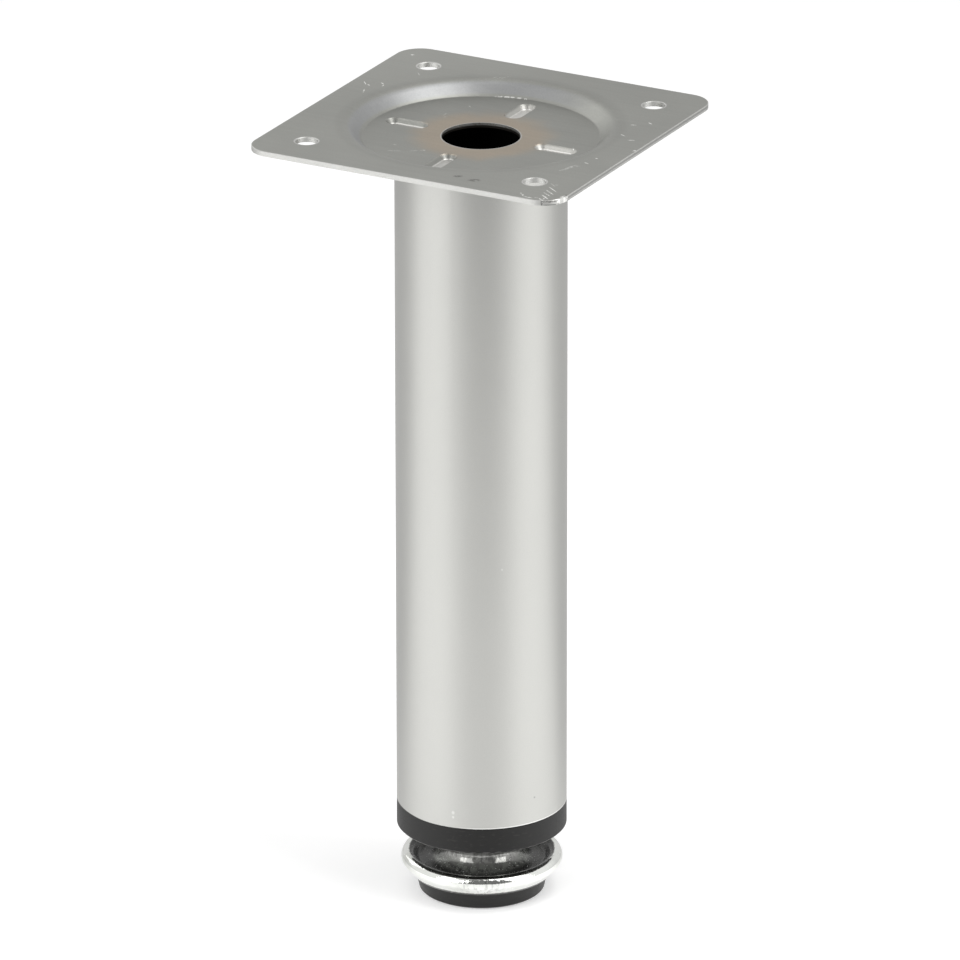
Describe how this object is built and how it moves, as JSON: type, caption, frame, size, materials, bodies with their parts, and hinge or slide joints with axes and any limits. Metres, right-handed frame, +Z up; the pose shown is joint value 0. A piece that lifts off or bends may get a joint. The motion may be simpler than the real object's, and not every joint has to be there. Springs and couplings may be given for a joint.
{
  "type": "furniture leg",
  "caption": "Round tubular furniture leg under a square pressed mounting plate, with a height-adjusting screw foot on a plastic glide.",
  "frame": {"origin": "on the floor, on the tube's axis, at the centre of the leg's bounding box", "axes": "+Z up along the tube's axis to the mounting plate; X and Y along the plate's sides"},
  "size_m": [0.085, 0.085, 0.2],
  "materials": {
    "plate_steel": "satin silver-grey paint on pressed sheet steel, worn at one corner",
    "tube_paint": "satin silver paint",
    "black_plastic": "moulded black plastic, slightly satin",
    "zinc_steel": "zinc-plated steel",
    "bright_plating": "bright plated pressed steel"
  },
  "bodies": {
    "leg": {"mounting_plate": "plate_steel", "leg_tube": "tube_paint", "end_insert": "black_plastic", "insert_nut": "zinc_steel"},
    "glide": {"foot_glide": "black_plastic"},
    "screw_foot": {"foot_stud": "zinc_steel", "foot_cup": "bright_plating"}
  },
  "joints": [
    {"name": "foot_height", "type": "slide", "parent": "leg", "child": "glide", "axis": [0, 0, -1], "range_m": [0, 0.015]},
    {"name": "foot_turn", "type": "hinge", "parent": "glide", "child": "screw_foot", "pos_m": [0, 0, 0], "axis": [0, 0, -1], "range_deg": [0, 3600]}
  ],
  "couplings": [
    {"joint": "foot_height", "follows": "foot_turn", "m_per_rad": 0.00023873}
  ]
}
